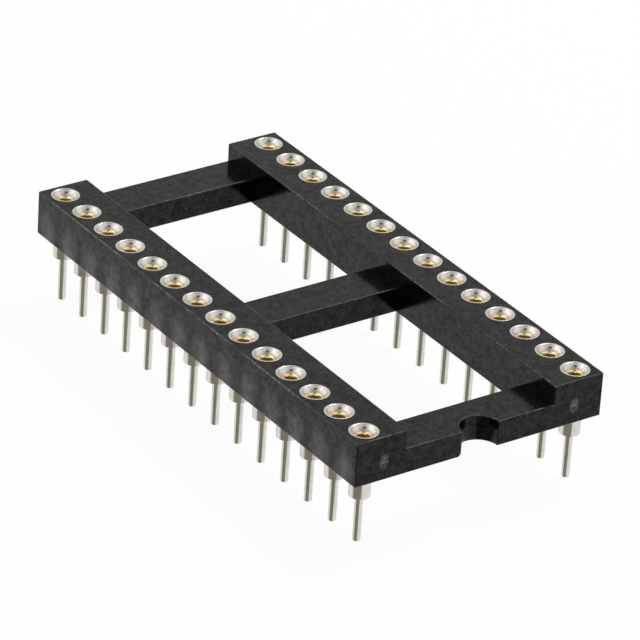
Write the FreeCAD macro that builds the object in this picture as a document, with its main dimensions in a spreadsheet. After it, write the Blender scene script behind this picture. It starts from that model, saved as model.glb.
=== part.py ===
import FreeCAD, Part
import os

import Sketcher
from FreeCAD import Vector

# A 28-way open-frame ic socket with turned contacts, in millimetres.
# X runs across the two rows, Y along them, Z up from the board that the shoulders stand on.
# Contact 1 is at +X, -Y, beside the notched end. Numbers go up the +X row and back down the other.

PER_ROW = 14
# Flats that stand in for a turned circle. The corners lie on the real circle.
SLEEVE_SIDES = 12
CLIP_SIDES = 8
# Every second flat of the spring clip carries a finger.
FINGERS = CLIP_SIDES // 2

SIZES = {
    # Contact grid
    "pitch": 2.54,
    "row_spacing": 15.24,
    # Moulded insulator. The margins run from a contact's axis to the outside and to the gap.
    "end_margin": 1.19,
    "outer_margin": 1.255,
    "inner_margin": 2.305,
    "body_height": 2.92,
    "standoff": 1.38,
    "bar_width": 2.9,
    "bar_drop": 1.23,
    "notch_diameter": 2.6,
    # Turned sleeve
    "rim_diameter": 1.83,
    "barrel_diameter": 1.32,
    "mouth_depth": 0.34,
    "bore_diameter": 1.06,
    "bore_floor": 1.0,
    "tail_diameter": 0.51,
    "tail_length": 3.1,
    # Spring clip
    "throat_diameter": 0.73,
    "collar_height": 0.38,
    "finger_length": 1.5,
    "finger_gap": 0.4,
    "finger_thickness": 0.08,
}

doc = FreeCAD.newDocument("ic_socket")
sheet = doc.addObject("Spreadsheet::Sheet", "Sizes")
for row, (alias, value) in enumerate(SIZES.items(), start=1):
    sheet.set(f"A{row}", alias)
    sheet.set(f"B{row}", str(value))
    sheet.setAlias(f"B{row}", alias)
doc.recompute()


def size(formula):
    """Write a formula of size names as an expression that reads them from the sheet."""
    words = []
    for word in formula.split():
        words.append(f"Sizes.{word}" if word in SIZES else word)
    return " ".join(words)


def flat(radius, sides=SLEEVE_SIDES):
    """Give the distance from the axis to a flat of a polygon, from its corner radius."""
    return f"( {radius} ) * cos({180 / sides} deg)"


# Heights and radii that more than one piece uses
STANDOFF = size("standoff")
TOP = size("standoff + body_height")
MOUTH_FLOOR = size("standoff + body_height - mouth_depth")
COLLAR_FLOOR = size("standoff + body_height - mouth_depth - collar_height")
FINGER_TIP = size("standoff + body_height - mouth_depth - collar_height - finger_length")
RIM = size("rim_diameter / 2")
BARREL = size("barrel_diameter / 2")
BORE = size("bore_diameter / 2")
THROAT = size("throat_diameter / 2")
# The clip's corners bear on the bore's flats, halfway between their middles and their corners
CLIP = f"{flat(BORE)} / cos({90 / SLEEVE_SIDES} deg)"


def new_sketch(body, name, plane="XY_Plane", x="0", y="0", z="0"):
    """Start a sketch level with one of the body's own planes, its origin at the given place."""
    planes = [item for item in body.Origin.OriginFeatures if item.Role == plane]
    sketch = body.newObject("Sketcher::SketchObject", name)
    sketch.AttachmentSupport = (planes[0], [""])
    sketch.MapMode = "FlatFace"
    place = (x, y, z) if plane == "XY_Plane" else (x, z, f"-1 * ( {y} )")
    for axis, formula in zip("xyz", place):
        if formula not in ("0", "-1 * ( 0 )"):
            sketch.setExpression(f"AttachmentOffset.Base.{axis}", formula)
    return sketch


def bind(sketch, name, formula, *constraint):
    """Add a named constraint and set it from the sheet."""
    number = sketch.addConstraint(Sketcher.Constraint(*constraint, 1.0))
    sketch.renameConstraint(number, name)
    sketch.setExpression(f"Constraints.{name}", formula)


def closed_outline(sketch, corners):
    """Draw straight lines through the corners and back to the first, and return their numbers."""
    lines = []
    for start, end in zip(corners, corners[1:] + corners[:1]):
        lines.append(sketch.addGeometry(Part.LineSegment(start, end)))
    for line, following in zip(lines, lines[1:] + lines[:1]):
        sketch.addConstraint(Sketcher.Constraint("Coincident", line, 2, following, 1))
    return lines


def corner_circle(sketch, name, radius):
    """Draw a construction circle about the sketch's origin for corners to lie on."""
    circle = sketch.addGeometry(Part.Circle(Vector(0, 0, 0), Vector(0, 0, 1), 1), True)
    sketch.addConstraint(Sketcher.Constraint("Coincident", circle, 3, -1, 1))
    bind(sketch, name, radius, "Radius", circle)
    return circle


def polygon(body, name, radius, sides=SLEEVE_SIDES, **place):
    """Sketch the flats that stand in for a circle, one of them square to +X."""
    sketch = new_sketch(body, name, **place)
    corners = []
    for side in range(sides):
        turn = FreeCAD.Rotation(Vector(0, 0, 1), (side - 0.5) * 360 / sides)
        corners.append(turn.multVec(Vector(1, 0, 0)))
    lines = closed_outline(sketch, corners)
    circle = corner_circle(sketch, "corner_radius", radius)
    for line in lines:
        sketch.addConstraint(Sketcher.Constraint("PointOnObject", line, 1, circle))
    for line in lines[1:]:
        sketch.addConstraint(Sketcher.Constraint("Equal", lines[0], line))
    sketch.addConstraint(Sketcher.Constraint("Vertical", lines[0]))
    return sketch


def outline_through(body, name, points, **place):
    """Sketch straight lines through points whose coordinates are formulas."""
    sketch = new_sketch(body, name, **place)
    rough = [Vector(1 + index % 2, index, 0) for index in range(len(points))]
    lines = closed_outline(sketch, rough)
    for number, (line, (right, up)) in enumerate(zip(lines, points), start=1):
        if right == "0":
            sketch.addConstraint(Sketcher.Constraint("PointOnObject", line, 1, -2))
        else:
            bind(sketch, f"right_{number}", right, "DistanceX", -1, 1, line, 1)
        if up == "0":
            sketch.addConstraint(Sketcher.Constraint("PointOnObject", line, 1, -1))
        else:
            bind(sketch, f"up_{number}", up, "DistanceY", -1, 1, line, 1)
    return sketch


def rectangle(body, name, width, length, **place):
    """Sketch a rectangle of a width across X and a length along Y."""
    sketch = new_sketch(body, name, **place)
    corners = [Vector(-1, -1, 0), Vector(1, -1, 0), Vector(1, 1, 0), Vector(-1, 1, 0)]
    near, right, far, left = closed_outline(sketch, corners)
    for line in (near, far):
        sketch.addConstraint(Sketcher.Constraint("Horizontal", line))
    for line in (left, right):
        sketch.addConstraint(Sketcher.Constraint("Vertical", line))
    sketch.addConstraint(Sketcher.Constraint("Symmetric", near, 1, far, 1, -1, 1))
    bind(sketch, "width", width, "DistanceX", near, 1, near, 2)
    bind(sketch, "length", length, "DistanceY", right, 1, right, 2)
    return sketch


def disc(body, name, radius, **place):
    """Sketch a circle."""
    sketch = new_sketch(body, name, **place)
    circle = sketch.addGeometry(Part.Circle(Vector(0, 0, 0), Vector(0, 0, 1), 1))
    sketch.addConstraint(Sketcher.Constraint("Coincident", circle, 3, -1, 1))
    bind(sketch, "radius", radius, "Radius", circle)
    return sketch


def extrude(body, kind, name, sketch, length, reverse=False):
    """Pad or pocket a sketch by a length from the sheet."""
    feature = body.newObject(f"PartDesign::{kind}", name)
    feature.Profile = sketch
    feature.setExpression("Length", length)
    feature.Reversed = reverse
    return feature


def sweep(body, kind, name, section, path):
    """Carry a section round a polygon with mitred corners, so that every face stays flat."""
    feature = body.newObject(f"PartDesign::{kind}Pipe", name)
    feature.Profile = section
    feature.Spine = path
    feature.Transition = "Right corner"
    return feature


def origin_item(body, role):
    """Find one of the body's own origin planes or axes."""
    return [item for item in body.Origin.OriginFeatures if item.Role == role][0]


# Insulator: two rails joined by three lower crossbars, all moulded in one
insulator = doc.addObject("PartDesign::Body", "insulator")
body_length = f"{PER_ROW - 1} * pitch + 2 * end_margin"
length = size(body_length)
width = size("row_spacing + 2 * outer_margin")
gap = size("row_spacing - 2 * inner_margin")
outline = rectangle(insulator, "Outline", width, length, z=STANDOFF)
extrude(insulator, "Pad", "Block", outline, size("body_height"))
channel = rectangle(insulator, "Channel", gap, length, z=TOP)
extrude(insulator, "Pocket", "LowerBars", channel, size("bar_drop"))
window_length = size(f"( {body_length} - 3 * bar_width ) / 2")
window_middle = size(f"( {body_length} - bar_width ) / 4")
window = rectangle(insulator, "Window", gap, window_length, y=window_middle, z=TOP)
far_window = extrude(insulator, "Pocket", "FarWindow", window, size("body_height"))
insulator.Tip = far_window
doc.recompute()
near_window = insulator.newObject("PartDesign::Mirrored", "NearWindow")
near_window.Originals = [far_window]
near_window.MirrorPlane = (origin_item(insulator, "XZ_Plane"), [""])
insulator.Tip = near_window
doc.recompute()
near_end = size(f"( {body_length} ) / -2")
half_round = disc(insulator, "HalfRound", size("notch_diameter / 2"), y=near_end, z=TOP)
extrude(insulator, "Pocket", "Notch", half_round, size("body_height"))

# One tapered hole at contact 1 holds its sleeve, and is repeated along the row and across
first = {"x": size("row_spacing / 2"), "y": size(f"pitch * {(1 - PER_ROW) / 2}")}
hole_outline = polygon(insulator, "HoleOutline", BARREL, z=TOP, **first)
hole = extrude(insulator, "Pocket", "Hole", hole_outline, size("body_height"))
flare_points = [(flat(BARREL), STANDOFF), (flat(RIM), TOP), (flat(BARREL), TOP)]
flare_section = outline_through(
    insulator, "FlareSection", flare_points, plane="XZ_Plane", **first
)
flare_path = polygon(insulator, "FlarePath", BARREL, z=STANDOFF, **first)
flare = sweep(insulator, "Subtractive", "Flare", flare_section, flare_path)
insulator.Tip = flare
doc.recompute()
holes = insulator.newObject("PartDesign::MultiTransform", "Holes")
along = insulator.newObject("PartDesign::LinearPattern", "AlongRow")
across = insulator.newObject("PartDesign::Mirrored", "AcrossRows")
along.Direction = (origin_item(insulator, "Y_Axis"), [""])
along.setExpression("Length", size(f"pitch * {PER_ROW - 1}"))
along.Occurrences = PER_ROW
across.MirrorPlane = (origin_item(insulator, "YZ_Plane"), [""])
holes.Originals = [hole, flare]
holes.Transformations = [along, across]
insulator.Tip = holes
doc.recompute()

# Turned sleeve, drawn once about Z: a countersunk mouth, a blind bore, a shoulder and a tail
sleeve = doc.addObject("PartDesign::Body", "turned_sleeve")
wall_points = [
    (flat(BORE), size("bore_floor")),
    (flat(BORE), MOUTH_FLOOR),
    (flat(RIM), TOP),
    (flat(BARREL), STANDOFF),
    (flat(BARREL), "0"),
    (flat(BORE), "0"),
]
wall_section = outline_through(sleeve, "WallSection", wall_points, plane="XZ_Plane")
wall_path = polygon(sleeve, "WallPath", BARREL)
sweep(sleeve, "Additive", "Wall", wall_section, wall_path)
core_outline = polygon(sleeve, "CoreOutline", BORE)
extrude(sleeve, "Pad", "Core", core_outline, size("bore_floor"))
tail_circle = disc(sleeve, "TailCircle", size("tail_diameter / 2"))
sleeve.Tip = extrude(sleeve, "Pad", "Tail", tail_circle, size("tail_length"), reverse=True)

# Spring clip, drawn once about Z: a collar with a funnel, and fingers that close on a lead
clip = doc.addObject("PartDesign::Body", "spring_clip")
throat_flat = flat(THROAT, CLIP_SIDES)
spring_points = [
    (flat(CLIP, CLIP_SIDES), MOUTH_FLOOR),
    (throat_flat, COLLAR_FLOOR),
    (size("finger_gap / 2"), FINGER_TIP),
    (size("finger_gap / 2 + finger_thickness"), FINGER_TIP),
    (flat(CLIP, CLIP_SIDES), COLLAR_FLOOR),
]
spring_section = outline_through(clip, "SpringSection", spring_points, plane="XZ_Plane")
spring_path = polygon(clip, "SpringPath", THROAT, CLIP_SIDES, z=COLLAR_FLOOR)
spring = sweep(clip, "Additive", "Spring", spring_section, spring_path)
clip.Tip = spring
doc.recompute()
slot_corner = flat(BARREL, CLIP_SIDES)
slot_side = f"( {BARREL} ) * sin({180 / CLIP_SIDES} deg)"
slot_points = [("0", "0"), (slot_corner, slot_side), (slot_side, slot_corner)]
slot_outline = outline_through(clip, "SlotOutline", slot_points, z=COLLAR_FLOOR)
slot = extrude(clip, "Pocket", "Slot", slot_outline, size("finger_length"))
clip.Tip = slot
doc.recompute()
slots = clip.newObject("PartDesign::PolarPattern", "Slots")
slots.Originals = [slot]
slots.Axis = (origin_item(clip, "Z_Axis"), [""])
slots.Angle = 360
slots.Occurrences = FINGERS
clip.Tip = slots
doc.recompute()


def repeat(drawn, name, across_rows, along_rows):
    """Place one more copy of a piece that was drawn about Z, as a body of its own."""
    body = doc.addObject("PartDesign::Body", name)
    copy = doc.addObject("PartDesign::FeatureBase", f"{name}_copy")
    body.Group = [copy]
    copy.BaseFeature = drawn
    body.Tip = copy
    body.setExpression("Placement.Base.x", across_rows)
    body.setExpression("Placement.Base.y", along_rows)
    return body


# Contacts are numbered up the +X row and back down the -X row
nodes = [insulator]
for number in range(1, 2 * PER_ROW + 1):
    up = number <= PER_ROW
    step = number - 1 if up else 2 * PER_ROW - number
    across_rows = size("row_spacing / 2" if up else "- row_spacing / 2")
    along_rows = size(f"pitch * {step - (PER_ROW - 1) / 2}")
    nodes.append(repeat(sleeve, f"sleeve_{number:02d}", across_rows, along_rows))
    nodes.append(repeat(clip, f"contact_clip_{number:02d}", across_rows, along_rows))
doc.recompute()

for item in doc.Objects:
    if "Invalid" in item.State or "Error" in item.State:
        raise RuntimeError(f"{item.Name} does not build: {item.State}")
for node in nodes:
    if node.Shape.isNull() or not node.Shape.isValid():
        raise RuntimeError(f"{node.Label} is not a valid solid")
os.makedirs("parts", exist_ok=True)
for node in nodes:
    node.Shape.exportStep(f"parts/{node.Label}.step")
    print(node.Label, len(node.Shape.Solids), len(node.Shape.Faces), round(node.Shape.Volume, 4))
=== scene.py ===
"""Dress a packed ic socket: moulded insulator, turned sleeves, spring clips and a plain studio.

All lengths are metres in the part's own frame. X runs across the two rows of contacts, Y runs
along them away from the notched end, and Z is up from the board that the shoulders stand on.
"""

import logging
import math
from collections.abc import Iterable
from dataclasses import dataclass, field
from enum import Enum

import bmesh
import bpy
from mathutils import Matrix, Vector


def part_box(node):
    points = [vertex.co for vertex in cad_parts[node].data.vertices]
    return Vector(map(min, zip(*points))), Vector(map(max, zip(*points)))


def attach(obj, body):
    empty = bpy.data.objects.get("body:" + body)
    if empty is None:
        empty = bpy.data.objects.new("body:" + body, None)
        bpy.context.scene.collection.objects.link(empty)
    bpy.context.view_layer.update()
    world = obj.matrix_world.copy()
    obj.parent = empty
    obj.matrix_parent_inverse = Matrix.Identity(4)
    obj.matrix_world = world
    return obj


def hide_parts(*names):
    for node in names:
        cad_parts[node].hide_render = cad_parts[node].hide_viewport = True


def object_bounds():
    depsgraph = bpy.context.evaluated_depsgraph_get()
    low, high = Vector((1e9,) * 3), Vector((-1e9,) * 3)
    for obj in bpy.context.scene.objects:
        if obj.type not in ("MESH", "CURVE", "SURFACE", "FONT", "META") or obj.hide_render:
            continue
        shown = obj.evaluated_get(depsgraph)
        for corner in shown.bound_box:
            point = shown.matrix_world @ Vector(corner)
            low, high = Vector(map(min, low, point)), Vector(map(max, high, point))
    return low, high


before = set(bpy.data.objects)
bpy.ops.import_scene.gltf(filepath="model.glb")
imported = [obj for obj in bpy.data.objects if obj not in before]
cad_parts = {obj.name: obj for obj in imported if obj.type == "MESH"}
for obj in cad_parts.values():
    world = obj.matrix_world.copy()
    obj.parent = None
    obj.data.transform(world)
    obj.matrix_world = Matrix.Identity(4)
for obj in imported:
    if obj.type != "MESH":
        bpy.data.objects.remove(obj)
CAD_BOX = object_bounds()

MM = 0.001
BODY = "root"
log = logging.getLogger("ic_socket")

# Face attributes that the finishes read: edges with wear and painted highlight, walls with painted
# shade
EDGE_ATTRIBUTE = "edge_wear_and_sheen"
INNER_ATTRIBUTE = "inner_wall"

# Tolerances, in metres, decimal places, radians and parts of a unit normal
MERGE_DISTANCE = 1e-7
HEIGHT_TOLERANCE = 1e-6
GRID_DIGITS = 4
FLAT_ANGLE = math.radians(1)
SQUARE = 0.99999
LEVEL = 0.99

# A slanted direction along which a mesh's parts are sorted by their places
SORTING_LINE = Vector((1.0, 7.31, 53.7))

# Inputs and output of a Mix node for colours
MIX_AMOUNT, MIX_FIRST, MIX_SECOND, MIX_RESULT = 0, 6, 7, 2

# Types: a node's socket, and where a smooth ramp is 0 and where it is 1
Socket = bpy.types.NodeSocket
Ramp = tuple[float, float]


class Slot(Enum):
    """The material slots of the part's record."""

    INSULATOR = "insulator"
    SLEEVE = "sleeve"
    CLIP = "contact_clip"


class Plating(Enum):
    """The platings of the contact pieces, as linear metal colours."""

    TIN = (0.675, 0.656, 0.608)
    GOLD = (0.95, 0.785, 0.435)


def bevel_edges(
    bm: bmesh.types.BMesh, edges: Iterable[bmesh.types.BMEdge], width: float, segments: int
) -> list[bmesh.types.BMFace]:
    """Round some edges off.

    Args:
        bm: The mesh that holds the edges.
        edges: The edges to round.
        width: The width of the rounding, measured along the faces beside it.
        segments: The number of faces across the rounding.

    Returns:
        The new faces.
    """
    made = bmesh.ops.bevel(
        bm,
        geom=list(edges),
        offset=width,
        offset_type="OFFSET",
        segments=segments,
        profile=0.5,
        affect="EDGES",
        clamp_overlap=True,
        material=-1,
    )
    return made["faces"]


def settle_order(bm: bmesh.types.BMesh) -> None:
    """Put a mesh's parts in the order of their places, so that every run treats them alike.

    Args:
        bm: The mesh, which keeps its shape.
    """
    bm.verts.sort(key=lambda vert: vert.co.dot(SORTING_LINE))
    bm.edges.sort(key=lambda edge: (edge.verts[0].co + edge.verts[1].co).dot(SORTING_LINE))
    bm.faces.sort(key=lambda face: face.calc_center_median().dot(SORTING_LINE))


def sharp_edges(bm: bmesh.types.BMesh, degrees: float) -> list[bmesh.types.BMEdge]:
    """List the outward edges that turn by more than an angle.

    Args:
        bm: The mesh, with its normals outwards.
        degrees: The angle.

    Returns:
        The edges.
    """
    limit = math.radians(degrees)
    return [
        edge for edge in bm.edges if edge.is_manifold and edge.calc_face_angle_signed(0.0) > limit
    ]


def smooth_by_angle(bm: bmesh.types.BMesh, degrees: float, square_flat: bool = False) -> None:
    """Shade faces smooth, and keep edges sharper than an angle as creases.

    Args:
        bm: The mesh to shade.
        degrees: The angle between faces above which an edge stays sharp.
        square_flat: Whether faces that are square to an axis are shaded flat.
    """
    limit = math.radians(degrees)
    for face in bm.faces:
        square = max(abs(part) for part in face.normal) > SQUARE
        face.smooth = not (square_flat and square)
    for edge in bm.edges:
        edge.smooth = edge.calc_face_angle(math.pi) < limit


def spun_profile(points: list[tuple[float, float]], steps: int, closed: bool) -> bmesh.types.BMesh:
    """Turn a profile about Z.

    Args:
        points: Radius and height of each corner of the profile.
        steps: The number of flats round the turned shape.
        closed: Whether the last corner joins the first, as on a ring.

    Returns:
        The turned mesh, with its normals outwards.
    """
    bm = bmesh.new()
    verts = [bm.verts.new((radius, 0.0, height)) for radius, height in points]
    pairs = list(zip(verts, verts[1:]))
    if closed:
        pairs.append((verts[-1], verts[0]))
    edges = [bm.edges.new(pair) for pair in pairs]
    bmesh.ops.spin(
        bm,
        geom=verts + edges,
        cent=(0.0, 0.0, 0.0),
        axis=(0.0, 0.0, 1.0),
        angle=math.tau,
        steps=steps,
        use_merge=True,
    )
    bmesh.ops.remove_doubles(bm, verts=bm.verts, dist=MERGE_DISTANCE)
    settle_order(bm)
    bmesh.ops.recalc_face_normals(bm, faces=bm.faces)
    return bm


def mark_inner_walls(
    bm: bmesh.types.BMesh, radius: float, height: float, fade: float = 0.0, share: float = 0.0
) -> None:
    """Mark the faces down inside a turned shape about Z, where its finish paints shade.

    Args:
        bm: The turned shape.
        radius: The widest that an inner wall is.
        height: The height up to which the inner walls reach.
        fade: How far out from the inner walls the mark fades away above that height.
        share: How strong that fading mark is where it starts, from 0 to 1.
    """
    layer = bm.faces.layers.float.new(INNER_ATTRIBUTE)
    for face in bm.faces:
        middle = face.calc_center_median()
        out = math.hypot(middle.x, middle.y) - radius
        if middle.z > height and 0.0 < out < fade:
            face[layer] = share * (1.0 - out / fade)
        elif out < 0.0 < middle.z < height:
            face[layer] = 1.0


def finished_piece(name: str, bm: bmesh.types.BMesh, place: Vector) -> bpy.types.Object:
    """Make an object from a mesh, its place in the mesh and its origin at the frame's.

    Args:
        name: The object's name.
        bm: The mesh, which is used up.
        place: How far the mesh moves before it is stored.

    Returns:
        The linked object.
    """
    bmesh.ops.translate(bm, verts=bm.verts, vec=place)
    mesh = bpy.data.meshes.new(name)
    bm.to_mesh(mesh)
    bm.free()
    piece = bpy.data.objects.new(name, mesh)
    bpy.context.scene.collection.objects.link(piece)
    return piece


@dataclass(frozen=True)
class NoiseLayer:
    """Noise of a real size: its features in metres, its finer layers and how strong those are."""

    size: float
    detail: float = 3.0
    roughness: float = 0.5


@dataclass(frozen=True)
class NodeTree:
    """A short way to add and join the nodes of one material or world."""

    tree: bpy.types.NodeTree

    def add(self, kind: str, **settings: object) -> bpy.types.Node:
        """Add a node.

        Args:
            kind: The node's type name.
            settings: Its properties, by name.

        Returns:
            The new node.
        """
        node = self.tree.nodes.new(kind)
        for name, value in settings.items():
            setattr(node, name, value)
        return node

    def link(self, source: Socket, target: Socket) -> None:
        """Join an output to an input."""
        self.tree.links.new(source, target)

    def feed(self, target: Socket, value: object) -> None:
        """Join an output to an input, or set the input if the value is a number.

        Args:
            target: The input.
            value: An output socket or a plain value.
        """
        if isinstance(value, Socket):
            self.link(value, target)
        else:
            target.default_value = value

    def math(self, operation: str, *values: object) -> Socket:
        """Work on numbers with a math node.

        Args:
            operation: The math node's operation.
            values: Its one to three inputs, as outputs or numbers.

        Returns:
            The result's socket.
        """
        node = self.add("ShaderNodeMath", operation=operation)
        for target, value in zip(node.inputs, values):
            self.feed(target, value)
        return node.outputs[0]

    def step(self, value: object, low: float, high: float) -> Socket:
        """Ramp smoothly from 0 to 1 as a value goes from low to high.

        Args:
            value: The value to read.
            low: Where the ramp is 0.
            high: Where the ramp is 1, which may be below low.

        Returns:
            The ramp's socket.
        """
        node = self.add("ShaderNodeMapRange", interpolation_type="SMOOTHSTEP")
        self.feed(node.inputs["Value"], value)
        node.inputs["From Min"].default_value = min(low, high)
        node.inputs["From Max"].default_value = max(low, high)
        node.inputs["To Min"].default_value = 0.0 if low < high else 1.0
        node.inputs["To Max"].default_value = 1.0 if low < high else 0.0
        return node.outputs["Result"]

    def noise(self, place: Socket, layer: NoiseLayer) -> Socket:
        """Add noise with features of a real size.

        Args:
            place: The coordinates to read.
            layer: The noise's sizes.

        Returns:
            The noise's value, from 0 to 1.
        """
        node = self.add("ShaderNodeTexNoise")
        self.link(place, node.inputs["Vector"])
        node.inputs["Scale"].default_value = 1.0 / layer.size
        node.inputs["Detail"].default_value = layer.detail
        node.inputs["Roughness"].default_value = layer.roughness
        return node.outputs["Fac"]

    def bump(self, height: Socket, strength: float, depth: float) -> Socket:
        """Turn a height into fine relief.

        Args:
            height: The height, in parts of the depth.
            strength: How strong the relief is, from 0 to 1.
            depth: How deep it is, in metres.

        Returns:
            The normal for the shader.
        """
        node = self.add("ShaderNodeBump")
        node.inputs["Strength"].default_value = strength
        node.inputs["Distance"].default_value = depth
        self.link(height, node.inputs["Height"])
        return node.outputs["Normal"]

    def mix(self, amount: object, first: object, second: object) -> Socket:
        """Mix two colours.

        Args:
            amount: How much of the second, from 0 to 1.
            first: The first colour.
            second: The second colour.

        Returns:
            The mixed colour's socket.
        """
        node = self.add("ShaderNodeMix", data_type="RGBA")
        self.feed(node.inputs[MIX_AMOUNT], amount)
        self.feed(node.inputs[MIX_FIRST], first)
        self.feed(node.inputs[MIX_SECOND], second)
        return node.outputs[MIX_RESULT]


def new_material(name: str) -> tuple[bpy.types.Material, NodeTree, bpy.types.Node]:
    """Start a material with its principled shader.

    Args:
        name: The material's name.

    Returns:
        The material, its tree and its shader node.
    """
    material = bpy.data.materials.new(name)
    material.use_nodes = True
    tree = NodeTree(material.node_tree)
    shader = material.node_tree.nodes["Principled BSDF"]
    return material, tree, shader


def grey(value: float) -> tuple[float, float, float, float]:
    """Give a neutral colour of one linear value."""
    return (value, value, value, 1.0)


@dataclass(frozen=True)
class MouldedFinish:
    """Black glass-filled plastic: satin, mottled, pale at gate marks and worn edges.

    The worn edges also carry a painted highlight, and the long outer walls carry patches of
    painted sheen. Lengths are in metres and colours are linear greys. A share is a part of the
    grain, a swing is how far noise moves a value, and a ramp is where an effect starts and where
    it is full.
    """

    # The black ground and its grain
    base: float = 0.0005
    cloud: float = 0.0055
    mottle: NoiseLayer = NoiseLayer(0.5 * MM, 5.0, 0.65)
    mottle_ramp: Ramp = (0.35, 0.7)
    mottle_share: float = 0.45
    fine: NoiseLayer = NoiseLayer(0.16 * MM, 4.0, 0.7)
    fine_ramp: Ramp = (0.32, 0.68)
    fine_share: float = 0.55
    # Gloss and relief
    roughness: float = 0.15
    roughness_swing: float = 0.16
    edge_roughness: float = 0.35
    edge_ramp: Ramp = (0.0, 0.1)
    specular_level: float = 0.07
    specular_grain: float = 0.27
    specular_tint: tuple[float, float, float, float] = (1.0, 0.965, 0.945, 1.0)
    relief: NoiseLayer = NoiseLayer(0.08 * MM, 4.0, 0.6)
    relief_strength: float = 0.4
    relief_depth: float = 0.006 * MM
    # Painted sheen: pale patches on the long outer walls, one below each contact
    painted_sheen: float = 0.14
    sheen_inset: Ramp = (0.15 * MM, 0.05 * MM)
    sheen_rise: Ramp = (2.6 * MM, 0.7 * MM)
    sheen_ramp: Ramp = (0.2, 0.8)
    sheen_least: float = 0.45
    sheen_swing: float = 0.55
    # Gate marks on the notched end
    gate: float = 0.27
    gate_across: float = 6.87 * MM
    gate_height: float = 1.24 * MM
    gate_size: tuple[float, float] = (0.42 * MM, 0.62 * MM)
    gate_depth: Ramp = (0.1 * MM, 0.03 * MM)
    gate_scuff: NoiseLayer = NoiseLayer(0.2 * MM, 5.0, 0.75)
    gate_ramp: Ramp = (0.35, 0.7)
    # Worn edges, also lightened by a painted highlight, and specks
    wear_sheen: float = 0.23
    wear_sheen_stretch: NoiseLayer = NoiseLayer(3.0 * MM, 2.0, 0.5)
    wear_sheen_ramp: Ramp = (0.42, 0.6)
    wear_sheen_least: float = 0.25
    wear_sheen_swing: float = 0.75
    speck_pitch: float = 1.3 * MM
    speck_ramp: Ramp = (0.07, 0.02)
    speck_patch: NoiseLayer = NoiseLayer(2.2 * MM, 1.0)
    speck_chance: Ramp = (0.6, 0.7)

    def material(self, box: tuple[Vector, Vector], pitch: float) -> bpy.types.Material:
        """Build the material.

        Args:
            box: The insulator's lowest and highest corner.
            pitch: The distance between contacts along a row.

        Returns:
            The material.
        """
        material, tree, shader = new_material("moulded_plastic")
        place = tree.add("ShaderNodeTexCoord").outputs["Object"]
        split = tree.add("ShaderNodeSeparateXYZ")
        tree.link(place, split.inputs[0])
        axes = tuple(split.outputs)

        mottle = tree.noise(place, self.mottle)
        fine = tree.noise(place, self.fine)
        coarse = tree.math("MULTIPLY", tree.step(mottle, *self.mottle_ramp), self.mottle_share)
        grained = tree.step(fine, *self.fine_ramp)
        grain = tree.math("MULTIPLY_ADD", grained, self.fine_share, coarse)
        colour = tree.mix(grain, grey(self.base), grey(self.cloud))
        # Painted sheen: pale patches on the long outer walls, mixed into the colour
        painted_sheen = self.patchy(tree, box, pitch, axes, mottle)
        colour = tree.mix(painted_sheen, colour, grey(self.painted_sheen))
        marks = self.gate_marks(tree, box[0], axes, tree.noise(place, self.gate_scuff))
        colour = tree.mix(marks, colour, grey(self.gate))
        edge = tree.add("ShaderNodeAttribute", attribute_name=EDGE_ATTRIBUTE).outputs["Fac"]
        # Pale rounded edges: wear and a painted highlight, strongest on the outer long edges
        colour = tree.mix(self.wear_sheen_mask(tree, place, edge, fine), colour, grey(self.wear_sheen))
        tree.link(colour, shader.inputs["Base Color"])
        gloss = tree.math("MULTIPLY_ADD", grain, self.specular_grain, self.specular_level)
        tree.link(gloss, shader.inputs["Specular IOR Level"])
        shader.inputs["Specular Tint"].default_value = self.specular_tint

        least = self.roughness - self.roughness_swing / 2
        rough = tree.math("MULTIPLY_ADD", fine, self.roughness_swing, least)
        rounded = tree.step(edge, *self.edge_ramp)
        rough = tree.math("MULTIPLY_ADD", rounded, self.edge_roughness, rough)
        tree.link(rough, shader.inputs["Roughness"])
        relief = tree.noise(place, self.relief)
        normal = tree.bump(relief, self.relief_strength, self.relief_depth)
        tree.link(normal, shader.inputs["Normal"])
        return material

    def patchy(
        self,
        tree: NodeTree,
        box: tuple[Vector, Vector],
        pitch: float,
        axes: tuple[Socket, ...],
        mottle: Socket,
    ) -> Socket:
        """Find the painted sheen: pale patches on the long outer walls, one below each contact.

        Args:
            tree: The material's tree.
            box: The insulator's lowest and highest corner.
            pitch: The distance between contacts along a row.
            axes: X, Y and Z outputs.
            mottle: The noise that breaks the patches up.

        Returns:
            How strong the painted sheen is, from 0 to 1.
        """
        low, high = box
        x, y, z = axes
        wall = tree.step(tree.math("ABSOLUTE", x), *(high.x - inset for inset in self.sheen_inset))
        phase = tree.math("MULTIPLY", y, math.tau / pitch)
        wave = tree.math("MULTIPLY_ADD", tree.math("COSINE", phase), -0.5, 0.5)
        lower = tree.step(z, *(low.z + rise for rise in self.sheen_rise))
        patch = tree.math("MULTIPLY", tree.math("MULTIPLY", wall, wave), lower)
        uneven = tree.step(mottle, *self.sheen_ramp)
        uneven = tree.math("MULTIPLY_ADD", uneven, self.sheen_swing, self.sheen_least)
        return tree.math("MULTIPLY", patch, uneven)

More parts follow.
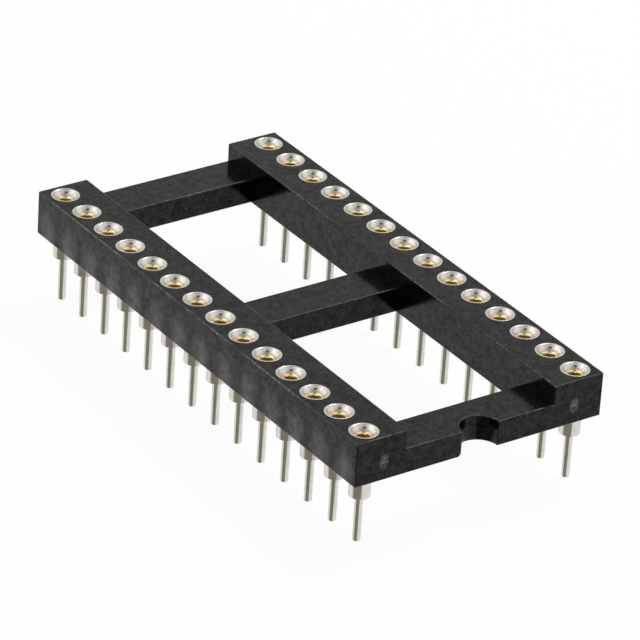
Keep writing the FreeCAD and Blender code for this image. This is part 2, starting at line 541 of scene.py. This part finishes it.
    def gate_marks(
        self,
        tree: NodeTree,
        low: Vector,
        axes: tuple[Socket, ...],
        uneven: Socket,
    ) -> Socket:
        """Find the two scuffed gate marks on the notched end.

        Args:
            tree: The material's tree.
            low: The insulator's lowest corner.
            axes: X, Y and Z outputs.
            uneven: The noise that breaks the marks up.

        Returns:
            How strong the mark is, from 0 to 1.
        """
        x, y, z = axes
        near = tree.step(y, *(low.y + depth for depth in self.gate_depth))
        across = tree.math("SUBTRACT", tree.math("ABSOLUTE", x), self.gate_across)
        across = tree.math("DIVIDE", across, self.gate_size[0])
        upward = tree.math("SUBTRACT", z, low.z + self.gate_height)
        upward = tree.math("DIVIDE", upward, self.gate_size[1])
        squared = tree.math("MULTIPLY_ADD", across, across, tree.math("MULTIPLY", upward, upward))
        oval = tree.math("MULTIPLY", tree.step(squared, 1.0, 0.0), near)
        return tree.math("MULTIPLY", oval, tree.step(uneven, *self.gate_ramp))

    def wear_sheen_mask(
        self,
        tree: NodeTree,
        place: Socket,
        edge: Socket,
        fine: Socket,
    ) -> Socket:
        """Find the pale scuffs, on rounded edges and in scattered specks.

        Args:
            Find the pale scuffs, on rounded edges with a painted highlight, and in scattered
            specks.
            place: The coordinates to read.
            edge: How strong a rounded edge's wear and painted highlight are, and 0 elsewhere.
            fine: The noise that breaks the scuffs up.

        Returns:
            How worn the surface is, with the painted edge highlight, from 0 to 1.
        """
        stretch = tree.step(tree.noise(place, self.wear_sheen_stretch), *self.wear_sheen_ramp)
        along = tree.math("MULTIPLY", stretch, tree.step(fine, *self.wear_sheen_ramp))
        along = tree.math("MULTIPLY_ADD", along, self.wear_sheen_swing, self.wear_sheen_least)
        scuff_and_sheen = tree.math("MULTIPLY", edge, along)
        specks = tree.add("ShaderNodeTexVoronoi", feature="F1")
        tree.link(place, specks.inputs["Vector"])
        specks.inputs["Scale"].default_value = 1.0 / self.speck_pitch
        speck = tree.step(specks.outputs["Distance"], *self.speck_ramp)
        chance = tree.step(tree.noise(place, self.speck_patch), *self.speck_chance)
        return tree.math("MAXIMUM", scuff_and_sheen, tree.math("MULTIPLY", speck, chance))


@dataclass(frozen=True)
class PlatedFinish:
    """Plated metal with fine turned rings, rougher on the inner walls and darkened there by
    painted shade.

    The cloud shade is how bright the cloudy patches are beside the rest, and the wobble's turn is
    how far its noise moves the phase of the rings, in radians.
    """

    plating: Plating
    roughness: float
    painted_inner_shade: tuple[float, float, float]
    roughness_swing: float = 0.12
    dull_power: float = 3.0
    dull_roughness: float = 0.5
    cloud: NoiseLayer = NoiseLayer(0.35 * MM, 3.0, 0.6)
    cloud_ramp: Ramp = (0.45, 0.8)
    cloud_shade: float = 0.82
    ring_pitch: float = 0.03 * MM
    ring_strength: float = 0.5
    ring_depth: float = 0.0006 * MM
    wobble: NoiseLayer = NoiseLayer(0.2 * MM)
    wobble_turn: float = 9.0

    def material(self) -> bpy.types.Material:
        """Build the material."""
        material, tree, shader = new_material(f"{self.plating.name.lower()}_plated")
        place = tree.add("ShaderNodeTexCoord").outputs["Object"]
        split = tree.add("ShaderNodeSeparateXYZ")
        tree.link(place, split.inputs[0])
        base = (*self.plating.value, 1.0)
        patchy = (*(self.cloud_shade * part for part in self.plating.value), 1.0)
        cloud = tree.noise(place, self.cloud)
        colour = tree.mix(tree.step(cloud, *self.cloud_ramp), base, patchy)
        inner = tree.add("ShaderNodeAttribute", attribute_name=INNER_ATTRIBUTE).outputs["Fac"]
        # Painted shade: the inner walls are darkened as shade down in the bore and between the
        # fingers
        colour = tree.mix(inner, colour, (*self.painted_inner_shade, 1.0))
        tree.link(colour, shader.inputs["Base Color"])
        shader.inputs["Metallic"].default_value = 1.0
        least = self.roughness - self.roughness_swing / 2
        rough = tree.math("MULTIPLY_ADD", cloud, self.roughness_swing, least)
        deep = tree.math("POWER", inner, self.dull_power)
        rough = tree.math("MULTIPLY_ADD", deep, self.dull_roughness, rough)
        tree.link(rough, shader.inputs["Roughness"])
        phase = tree.math("MULTIPLY", split.outputs["Z"], math.tau / self.ring_pitch)
        wobble = tree.math("MULTIPLY", tree.noise(place, self.wobble), self.wobble_turn)
        rings = tree.math("SINE", tree.math("ADD", phase, wobble))
        normal = tree.bump(rings, self.ring_strength, self.ring_depth)
        tree.link(normal, shader.inputs["Normal"])
        return material


@dataclass
class ContactGrid:
    """The two rows of contacts, read from the frame."""

    per_row: int = 14
    places: list[Vector] = field(default_factory=list)

    def __post_init__(self) -> None:
        """Read each sleeve's axis from its node."""
        for number in range(1, 2 * self.per_row + 1):
            low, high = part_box(f"sleeve_{number:02d}")
            self.places.append(Vector(((low.x + high.x) / 2, (low.y + high.y) / 2, 0.0)))

    @property
    def pitch(self) -> float:
        """Give the distance between contacts along a row."""
        return (self.places[1] - self.places[0]).length


@dataclass
class Insulator:
    """The moulded frame: two rails, three lower crossbars, a notch and a hole for each sleeve.

    The gap lies between the rails, and the bars' tops lie their drop below the rails' tops.
    Lengths are in metres, angles in degrees, and each edge's wear and painted highlight is from 0
    to 1.
    """

    grid: ContactGrid
    finish: MouldedFinish = MouldedFinish()
    gap: float = 10.63 * MM
    bar_width: float = 2.9 * MM
    bar_drop: float = 1.23 * MM
    notch_radius: float = 1.3 * MM
    rim_radius: float = 0.915 * MM
    barrel_radius: float = 0.66 * MM
    edge_round: float = 0.07 * MM
    edge_segments: int = 2
    sharp_angle: float = 60.0
    crease_angle: float = 35.0
    chip: float = 0.25 * MM
    notch_steps: int = 24
    hole_steps: int = 60
    lean_limit: float = 0.2
    # Wear and painted highlight on each kind of rounded edge
    outer_wear_sheen: float = 1.0
    inner_wear_sheen: float = 0.6
    cross_wear_sheen: float = 0.4
    upright_wear_sheen: float = 0.0
    low: Vector = field(init=False)
    high: Vector = field(init=False)

    def __post_init__(self) -> None:
        """Read the outer sizes from the node."""
        self.low, self.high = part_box("insulator")

    def outline(self) -> bmesh.types.BMesh:
        """Lay out the underside as a grid of cells, without the windows and with the notch.

        Returns:
            A flat mesh at the underside's height.
        """
        length = self.high.y
        xs = [self.low.x, -self.gap / 2, self.gap / 2, self.high.x]
        ys = [-length, self.bar_width - length, -self.bar_width / 2]
        ys += [-value for value in reversed(ys)]
        bm = bmesh.new()
        bmesh.ops.create_grid(bm, x_segments=3, y_segments=5, size=1.0)
        columns = sorted({round(vert.co.x, GRID_DIGITS) for vert in bm.verts})
        rows = sorted({round(vert.co.y, GRID_DIGITS) for vert in bm.verts})
        for vert in bm.verts:
            x = xs[columns.index(round(vert.co.x, GRID_DIGITS))]
            y = ys[rows.index(round(vert.co.y, GRID_DIGITS))]
            vert.co = (x, y, self.low.z)
        windows = []
        for face in bm.faces:
            middle = face.calc_center_median()
            across = abs(middle.x) < self.gap / 2
            if across and self.bar_width / 2 < abs(middle.y) < length - self.bar_width:
                windows.append(face)
        bmesh.ops.delete(bm, geom=windows, context="FACES")
        self.cut_notch(bm)
        return bm

    def cut_notch(self, bm: bmesh.types.BMesh) -> None:
        """Take a half-round out of the near crossbar's cell.

        Args:
            bm: The flat outline.
        """
        near = Vector((0.0, self.low.y, self.low.z))
        cell = min(bm.faces, key=lambda face: (face.calc_center_median() - near).length)
        edge = min(cell.edges, key=lambda item: (item.verts[0].co + item.verts[1].co).y)
        left, right = sorted(edge.verts, key=lambda vert: vert.co.x)
        rest = [item for item in cell.edges if item != edge]
        bmesh.ops.delete(bm, geom=[cell], context="FACES_ONLY")
        bmesh.ops.delete(bm, geom=[edge], context="EDGES")
        start = bm.verts.new(near - Vector((self.notch_radius, 0.0, 0.0)))
        arc = bmesh.ops.spin(
            bm,
            geom=[start],
            cent=near,
            axis=(0.0, 0.0, 1.0),
            angle=-math.pi,
            steps=self.notch_steps,
        )
        end = arc["geom_last"][0]
        joins = [bm.edges.new((left, start)), bm.edges.new((end, right))]
        curve = [item for item in bm.edges if item.is_wire and item not in rest + joins]
        bmesh.ops.edgeloop_fill(bm, edges=rest + joins + curve)

    def raise_body(self, bm: bmesh.types.BMesh) -> None:
        """Extrude the outline up to the crossbars' tops, and the rails on to their own.

        Args:
            bm: The flat outline, which becomes a closed solid.
        """
        bar_top = self.high.z - self.bar_drop
        made = bmesh.ops.extrude_face_region(bm, geom=list(bm.faces))["geom"]
        lifted = [item for item in made if isinstance(item, bmesh.types.BMVert)]
        bmesh.ops.translate(bm, verts=lifted, vec=(0.0, 0.0, bar_top - self.low.z))
        rails = [
            item
            for item in made
            if isinstance(item, bmesh.types.BMFace)
            and abs(item.calc_center_median().x) > self.gap / 2
        ]
        made = bmesh.ops.extrude_face_region(bm, geom=rails)["geom"]
        bmesh.ops.delete(bm, geom=rails, context="FACES_ONLY")
        lifted = [item for item in made if isinstance(item, bmesh.types.BMVert)]
        bmesh.ops.translate(bm, verts=lifted, vec=(0.0, 0.0, self.bar_drop))
        settle_order(bm)
        bmesh.ops.recalc_face_normals(bm, faces=bm.faces)
        flat = [item for item in bm.edges if item.calc_face_angle(math.pi) < FLAT_ANGLE]
        bmesh.ops.dissolve_limit(
            bm, angle_limit=FLAT_ANGLE, verts=bm.verts, edges=flat, delimit=set()
        )
        settle_order(bm)

    def open_holes(self, bm: bmesh.types.BMesh) -> None:
        """Cut a tapered hole for each sleeve through the faces above and below it.

        Args:
            bm: The solid body.
        """
        tops = self.pierce(bm, self.high.z, self.rim_radius, 1.0)
        feet = self.pierce(bm, self.low.z, self.barrel_radius, -1.0)
        for top, foot in zip(tops, feet):
            bmesh.ops.bridge_loops(bm, edges=top + foot)
        stray = [edge for edge in bm.edges if edge.is_wire]
        bmesh.ops.delete(bm, geom=stray, context="EDGES")

    def pierce(
        self, bm: bmesh.types.BMesh, height: float, radius: float, facing: float
    ) -> list[list[bmesh.types.BMEdge]]:
        """Fill flat faces again round a circle at each contact.

        Args:
            bm: The body.
            height: The height of the faces.
            radius: The circles' radius.
            facing: 1 for faces that look up, -1 for faces that look down.

        Returns:
            The edges of each circle, in the contacts' order.
        """
        level = [
            face
            for face in bm.faces
            if face.normal.z * facing > LEVEL
            and abs(face.calc_center_median().z - height) < HEIGHT_TOLERANCE
        ]
        rims = list(dict.fromkeys(edge for face in level for edge in face.edges))
        bounds = [edge for edge in rims if sum(face in level for face in edge.link_faces) == 1]
        bmesh.ops.delete(bm, geom=level, context="FACES_ONLY")
        inside = [edge for edge in rims if edge not in bounds]
        bmesh.ops.delete(bm, geom=inside, context="EDGES")
        circles = []
        for place in self.grid.places:
            turn = Matrix.Translation((place.x, place.y, height))
            ring = bmesh.ops.create_circle(
                bm, cap_ends=False, segments=self.hole_steps, radius=radius, matrix=turn
            )["verts"]
            circles.append(list(dict.fromkeys(edge for vert in ring for edge in vert.link_edges)))
        loops = bounds + [edge for circle in circles for edge in circle]
        bmesh.ops.triangle_fill(bm, use_beauty=True, edges=loops, normal=(0.0, 0.0, facing))
        return circles

    def chip_corner(self, bm: bmesh.types.BMesh) -> None:
        """Break off the lower corner on the left of the notch.

        Args:
            bm: The solid body.
        """
        corner = Vector((-self.notch_radius, self.low.y, self.low.z))
        vert = min(bm.verts, key=lambda item: (item.co - corner).length)
        bmesh.ops.bevel(
            bm,
            geom=[vert],
            offset=self.chip,
            offset_type="OFFSET",
            segments=1,
            profile=0.5,
            affect="VERTICES",
            material=-1,
        )

    def edge_wear_sheen(self, face: bmesh.types.BMFace) -> float:
        """Find a rounded edge's wear and painted highlight: most along the outside, least on
        upright edges.

        Args:
            face: A face of the rounding.

        Returns:
            The wear, from 0 to 1.
        """
        if abs(face.normal.z) < self.lean_limit:
            return self.upright_wear_sheen
        if abs(face.normal.x) < self.lean_limit:
            return self.cross_wear_sheen
        outside = abs(face.calc_center_median().x) > (self.gap / 2 + self.high.x) / 2
        return self.outer_wear_sheen if outside else self.inner_wear_sheen

    def build(self) -> bpy.types.Object:
        """Model the insulator and dress it.

        Returns:
            The piece that stands for the insulator's node.
        """
        bm = self.outline()
        self.raise_body(bm)
        self.chip_corner(bm)
        settle_order(bm)
        layer = bm.faces.layers.float.new(EDGE_ATTRIBUTE)
        outward = sharp_edges(bm, self.sharp_angle)
        for face in bevel_edges(bm, outward, self.edge_round, self.edge_segments):
            face.normal_update()
            face[layer] = self.edge_wear_sheen(face)
        settle_order(bm)
        self.open_holes(bm)
        bmesh.ops.recalc_face_normals(bm, faces=bm.faces)
        smooth_by_angle(bm, self.crease_angle, square_flat=True)
        piece = finished_piece("moulded_frame", bm, Vector())
        piece.data.materials.append(self.finish.material((self.low, self.high), self.grid.pitch))
        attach(piece, BODY)
        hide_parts("insulator")
        return piece


@dataclass
class TurnedSleeve:
    """A turned contact: a countersunk mouth with a land, a blind bore, a shoulder and a tail.

    The mouth's parts are the corners of its hollow cone, from the bore at 0 to the land at 1.
    Lengths are in metres and angles in degrees.
    """

    rim_radius: float = 0.915 * MM
    land_radius: float = 0.8 * MM
    barrel_radius: float = 0.66 * MM
    bore_radius: float = 0.53 * MM
    bore_floor: float = 1.0 * MM
    mouth_depth: float = 0.34 * MM
    mouth_hollow: float = 0.03 * MM
    tail_radius: float = 0.255 * MM
    mouth_parts: tuple[float, ...] = (0.0, 0.25, 0.5, 0.75)
    # How far, and how strongly, the bore's painted shade fades out onto the mouth
    mouth_fade: float = 0.2 * MM
    mouth_share: float = 0.6
    wall_margin: float = 0.001 * MM
    edge_round: float = 0.018 * MM
    edge_segments: int = 3
    tip_round: float = 0.08 * MM
    tip_segments: int = 4
    tip_reach: float = 0.5 * MM
    sharp_angle: float = 30.0
    crease_angle: float = 28.0
    steps: int = 72

    def profile(self, low: float, underside: float, top: float) -> list[tuple[float, float]]:
        """Lay out the sleeve's section, from the bore's floor to the tail's tip.

        Args:
            low: The height of the tail's tip.
            underside: The height of the insulator's underside.
            top: The height of the mouth.

        Returns:
            The radius and height of each corner.
        """
        mouth = []
        for part in self.mouth_parts:
            radius = self.bore_radius + (self.land_radius - self.bore_radius) * part
            sag = self.mouth_hollow * math.sin(math.pi * part)
            mouth.append((radius + sag, top - self.mouth_depth * (1.0 - part) - sag))
        return [
            (0.0, self.bore_floor),
            (self.bore_radius, self.bore_floor),
            *mouth,
            (self.land_radius, top),
            (self.rim_radius, top),
            (self.barrel_radius, underside),
            (self.barrel_radius, 0.0),
            (self.tail_radius, 0.0),
            (self.tail_radius, low),
            (0.0, low),
        ]

    def build(self, number: int, place: Vector, underside: float) -> bpy.types.Object:
        """Model one sleeve.

        Args:
            number: The contact's number.
            place: The contact's axis.
            underside: The height of the insulator's underside.

        Returns:
            The piece that stands for the sleeve's node.
        """
        node = f"sleeve_{number:02d}"
        low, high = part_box(node)
        bm = spun_profile(self.profile(low.z, underside, high.z), self.steps, closed=False)
        outward = sharp_edges(bm, self.sharp_angle)
        tip = [edge for edge in outward if edge.verts[0].co.z < low.z + self.tip_reach]
        bevel_edges(bm, tip, self.tip_round, self.tip_segments)
        others = [edge for edge in outward if edge.is_valid]
        bevel_edges(bm, others, self.edge_round, self.edge_segments)
        # The bore's walls get painted shade, which fades onto the mouth's foot
        wall, foot = self.bore_radius + self.wall_margin, high.z - self.mouth_depth
        mark_inner_walls(bm, wall, foot, fade=self.mouth_fade, share=self.mouth_share)
        bmesh.ops.recalc_face_normals(bm, faces=bm.faces)
        smooth_by_angle(bm, self.crease_angle)
        piece = finished_piece(f"turned_{node}", bm, place)
        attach(piece, BODY)
        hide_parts(node)
        return piece


@dataclass
class SpringClip:
    """A spring clip: a collar with a rounded funnel, and four fingers that close on a lead.

    In parts of the lip, its outer corner is cut by the outer value, and the inner values say how
    far in from the collar and down from the top its inner corner lies.
    """

    collar_radius: float = 0.522 * MM
    funnel_radius: float = 0.412 * MM
    throat_radius: float = 0.365 * MM
    collar_height: float = 0.38 * MM
    funnel_depth: float = 0.13 * MM
    tip_radius: float = 0.2 * MM
    tip_lean: float = 0.024 * MM
    sheet: float = 0.08 * MM
    lip: float = 0.03 * MM
    lip_outer: float = 0.3
    lip_inner: tuple[float, float] = (1.8, 0.7)
    crease_angle: float = 50.0
    slot_steps: int = 4
    fingers: int = 4
    steps: int = 64

    def build(self, number: int, place: Vector) -> bpy.types.Object:
        """Model one clip.

        Args:
            number: The contact's number.
            place: The contact's axis.

        Returns:
            The piece that stands for the clip's node.
        """
        node = f"contact_clip_{number:02d}"
        low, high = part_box(node)
        floor = high.z - self.collar_height
        across, down = self.lip_inner
        points = [
            (self.collar_radius, high.z - self.lip),
            (self.collar_radius - self.lip_outer * self.lip, high.z - self.lip_outer * self.lip),
            (self.collar_radius - self.lip, high.z),
            (self.collar_radius - across * self.lip, high.z - down * self.lip),
            (self.funnel_radius, high.z - self.funnel_depth),
            (self.throat_radius, floor),
            (self.tip_radius, low.z + self.sheet),
            (self.tip_radius + self.tip_lean, low.z),
            (self.tip_radius + self.sheet, low.z),
            (self.throat_radius + self.sheet, floor),
            (self.collar_radius, floor + self.sheet),
        ]
        bm = spun_profile(points, self.steps, closed=True)
        self.cut_slots(bm, floor)
        # The throat and fingers below the funnel get painted shade
        mark_inner_walls(bm, self.collar_radius, high.z - self.funnel_depth)
        bmesh.ops.recalc_face_normals(bm, faces=bm.faces)
        smooth_by_angle(bm, self.crease_angle)
        piece = finished_piece(f"spring_{node}", bm, place)
        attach(piece, BODY)
        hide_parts(node)
        return piece

    def cut_slots(self, bm: bmesh.types.BMesh, floor: float) -> None:
        """Open the slots between the fingers and close their sides.

        Args:
            bm: The turned clip, about Z.
            floor: The height of the collar's floor, above which nothing is cut.
        """
        sector = math.tau / self.fingers
        half = self.slot_steps * math.pi / self.steps
        gone = []
        for face in bm.faces:
            middle = face.calc_center_median()
            turn = math.atan2(middle.y, middle.x) % sector
            if middle.z < floor and abs(turn - sector / 2) < half:
                gone.append(face)
        bmesh.ops.delete(bm, geom=gone, context="FACES")
        open_edges = [edge for edge in bm.edges if edge.is_boundary]
        bmesh.ops.holes_fill(bm, edges=open_edges, sides=0)


@dataclass(frozen=True)
class RoomRegion:
    """A part of the room that is brighter or darker than the rest, seen in reflections only.

    The azimuth, half width, lowest and highest are in degrees, and the blur is in sines.
    """

    azimuth: float
    half_width: float
    lowest: float
    highest: float
    change: float
    blur: float = 0.08

    def shade(self, tree: NodeTree, direction: Socket) -> Socket:
        """Find the change of brightness in a direction.

        Args:
            tree: The world's tree.
            direction: The direction to look in.

        Returns:
            The change, which is 0 outside the region.
        """
        flat = tree.add("ShaderNodeVectorMath", operation="MULTIPLY")
        tree.link(direction, flat.inputs[0])
        flat.inputs[1].default_value = (1.0, 1.0, 0.0)
        unit = tree.add("ShaderNodeVectorMath", operation="NORMALIZE")
        tree.link(flat.outputs[0], unit.inputs[0])
        along = tree.add("ShaderNodeVectorMath", operation="DOT_PRODUCT")
        tree.link(unit.outputs[0], along.inputs[0])
        turn = math.radians(self.azimuth)
        along.inputs[1].default_value = (math.cos(turn), math.sin(turn), 0.0)
        edge = math.cos(math.radians(self.half_width))
        across = tree.step(along.outputs["Value"], edge - self.blur, edge + self.blur)
        split = tree.add("ShaderNodeSeparateXYZ")
        tree.link(direction, split.inputs[0])
        low, high = (math.sin(math.radians(value)) for value in (self.lowest, self.highest))
        above = tree.step(split.outputs["Z"], low - self.blur, low + self.blur)
        below = tree.step(split.outputs["Z"], high + self.blur, high - self.blur)
        inside = tree.math("MULTIPLY", across, tree.math("MULTIPLY", above, below))
        return tree.math("MULTIPLY", inside, self.change)


@dataclass(frozen=True)
class Studio:
    """A plain pale floor, one soft lamp and a white room that is uneven in reflections.

    Lengths are in metres, angles in degrees and the lamp's power in watts.
    """

    floor_height: float
    floor_size: float = 3.0
    floor_colour: float = 0.85
    camera_share: float = 0.95
    surround: float = 0.4
    lamp_azimuth: float = 12.0
    lamp_elevation: float = 60.0
    lamp_distance: float = 0.4
    lamp_size: float = 0.12
    lamp_power: float = 1.2
    shade_tint: tuple[float, float, float, float] = (1.0, 0.94, 0.76, 1.0)
    shade_ramp: Ramp = (0.9, 0.2)
    darkest: float = 0.03
    regions: tuple[RoomRegion, ...] = (
        RoomRegion(azimuth=0, half_width=160, lowest=0, highest=80, change=-0.2),
        RoomRegion(azimuth=0, half_width=160, lowest=58, highest=80, change=-0.4),
        RoomRegion(azimuth=232, half_width=20, lowest=33, highest=58, change=-0.95, blur=0.03),
        RoomRegion(azimuth=208, half_width=50, lowest=-80, highest=-5, change=-0.73, blur=0.06),
        RoomRegion(azimuth=144, half_width=38, lowest=10, highest=55, change=0.65),
        RoomRegion(azimuth=324, half_width=30, lowest=10, highest=55, change=0.3),
    )

    def build(self) -> None:
        """Make the floor, the surround and the lamp."""
        self.make_floor()
        self.make_surround()
        self.make_lamp()

    def make_floor(self) -> None:
        """Lay a pale floor that keeps the object's shadow and shows white to the camera."""
        bm = bmesh.new()
        bmesh.ops.create_grid(bm, x_segments=1, y_segments=1, size=self.floor_size / 2)
        floor = finished_piece("floor", bm, Vector((0.0, 0.0, self.floor_height)))
        material = bpy.data.materials.new("pale_floor")
        material.use_nodes = True
        tree = NodeTree(material.node_tree)
        material.node_tree.nodes.clear()
        out = tree.add("ShaderNodeOutputMaterial")
        matt = tree.add("ShaderNodeBsdfDiffuse")
        matt.inputs["Color"].default_value = grey(self.floor_colour)
        glow = tree.add("ShaderNodeEmission")
        glow.inputs["Strength"].default_value = 1.0
        path = tree.add("ShaderNodeLightPath")
        blend = tree.add("ShaderNodeMixShader")
        share = tree.math("MULTIPLY", path.outputs["Is Camera Ray"], self.camera_share)
        tree.link(share, blend.inputs[0])
        tree.link(matt.outputs[0], blend.inputs[1])
        tree.link(glow.outputs[0], blend.inputs[2])
        tree.link(blend.outputs[0], out.inputs["Surface"])
        floor.data.materials.append(material)
        floor.visible_glossy = False

    def make_surround(self) -> None:
        """Light the scene from all round, and show white to the camera and in gloss."""
        world = bpy.data.worlds.new("surround")
        bpy.context.scene.world = world
        world.use_nodes = True
        tree = NodeTree(world.node_tree)
        back = world.node_tree.nodes["Background"]
        path = tree.add("ShaderNodeLightPath")
        direction = tree.add("ShaderNodeTexCoord").outputs["Generated"]
        shade: Socket | float = 1.0
        for region in self.regions:
            shade = tree.math("ADD", shade, region.shade(tree, direction))
        shade = tree.math("MAXIMUM", shade, self.darkest)
        white = tree.math("MULTIPLY", path.outputs["Is Glossy Ray"], shade)
        white = tree.math("MAXIMUM", white, path.outputs["Is Camera Ray"])
        seen = tree.math("MAXIMUM", path.outputs["Is Camera Ray"], path.outputs["Is Glossy Ray"])
        rest = tree.math("MULTIPLY", tree.math("SUBTRACT", 1.0, seen), self.surround)
        level = tree.math("ADD", white, rest)
        shaded = tree.step(shade, *self.shade_ramp)
        tint = tree.math("MULTIPLY", path.outputs["Is Glossy Ray"], shaded)
        tree.link(tree.mix(tint, grey(1.0), self.shade_tint), back.inputs["Color"])
        tree.link(level, back.inputs["Strength"])

    def make_lamp(self) -> None:
        """Hang the soft lamp, from the right, so that shadows fall to the left."""
        data = bpy.data.lights.new("soft_lamp", "AREA")
        data.shape = "SQUARE"
        data.size = self.lamp_size
        data.energy = self.lamp_power
        lamp = bpy.data.objects.new("soft_lamp", data)
        lamp.location = self.around(self.lamp_azimuth, self.lamp_elevation, self.lamp_distance)
        lamp.rotation_euler = (-lamp.location).to_track_quat("-Z", "Y").to_euler()
        bpy.context.scene.collection.objects.link(lamp)

    def around(self, azimuth: float, elevation: float, distance: float) -> Vector:
        """Find a place round the object.

        Args:
            azimuth: Degrees from X towards Y.
            elevation: Degrees above the floor.
            distance: How far from the frame's origin.

        Returns:
            The place.
        """
        turn, tilt = math.radians(azimuth), math.radians(elevation)
        flat = distance * math.cos(tilt)
        return Vector((flat * math.cos(turn), flat * math.sin(turn), distance * math.sin(tilt)))


@dataclass(frozen=True)
class Camera:
    """The photograph's view, solved from the contacts' mouths on the insulator's top.

    Angles are in degrees. The middle of the insulator's top lies across and up from the middle
    of the view, by lengths in metres.
    """

    azimuth: float = -35.8724
    elevation: float = 28.9554
    roll: float = 3.8227
    across: float = -0.37755 * MM
    up: float = 2.46125 * MM
    distance: float = 303.4924 * MM
    focal_px: float = 4980.46
    frame_px: float = 640.0
    sensor_mm: float = 36.0
    clip_start: float = 0.01
    clip_end: float = 10.0

    def build(self, top: float) -> None:
        """Make the scene's camera.

        Args:
            top: The height of the insulator's top.
        """
        turn, tilt = math.radians(self.azimuth), math.radians(self.elevation)
        back = Vector(
            (math.sin(turn) * math.cos(tilt), -math.cos(turn) * math.cos(tilt), math.sin(tilt))
        )
        right = Vector((math.cos(turn), math.sin(turn), 0.0))
        spin = Matrix.Rotation(math.radians(self.roll), 3, back)
        right = spin @ right
        upward = back.cross(right)
        place = self.distance * back - self.across * right - self.up * upward
        data = bpy.data.cameras.new("photo_view")
        data.sensor_width = self.sensor_mm
        data.lens = self.focal_px * self.sensor_mm / self.frame_px
        data.clip_start = self.clip_start
        data.clip_end = self.clip_end
        camera = bpy.data.objects.new("photo_view", data)
        turned = Matrix((right, upward, back)).transposed().to_4x4()
        camera.matrix_world = Matrix.Translation(place + Vector((0.0, 0.0, top))) @ turned
        bpy.context.scene.collection.objects.link(camera)
        bpy.context.scene.camera = camera


def dress(pieces: list[bpy.types.Object], material: bpy.types.Material) -> None:
    """Give pieces one shared material."""
    for piece in pieces:
        piece.data.materials.append(material)


def report(piece: bpy.types.Object) -> None:
    """Log a piece's name and its number of faces."""
    log.info("%s: %d faces", piece.name, len(piece.data.polygons))


def main() -> None:
    """Build the object, the studio and the camera."""
    logging.basicConfig(level=logging.INFO, format="%(name)s %(message)s")
    grid = ContactGrid()
    insulator = Insulator(grid)
    report(insulator.build())
    sleeve, clip = TurnedSleeve(), SpringClip()
    sleeves = []
    clips = []
    for number, place in enumerate(grid.places, start=1):
        sleeves.append(sleeve.build(number, place, insulator.low.z))
        clips.append(clip.build(number, place))
    # The inner colours are painted shade for the bores and the clips' throats and fingers
    tin = PlatedFinish(Plating.TIN, roughness=0.21, painted_inner_shade=(0.36, 0.27, 0.13))
    gold = PlatedFinish(
        Plating.GOLD, roughness=0.24, painted_inner_shade=(0.33, 0.205, 0.055), ring_depth=0.0001 * MM
    )
    dress(sleeves, tin.material())
    dress(clips, gold.material())
    for piece in sleeves + clips:
        report(piece)
    Studio(CAD_BOX[0].z).build()
    Camera().build(insulator.high.z)
    bpy.context.scene.view_settings.view_transform = "Standard"


if __name__ == "__main__":
    main()
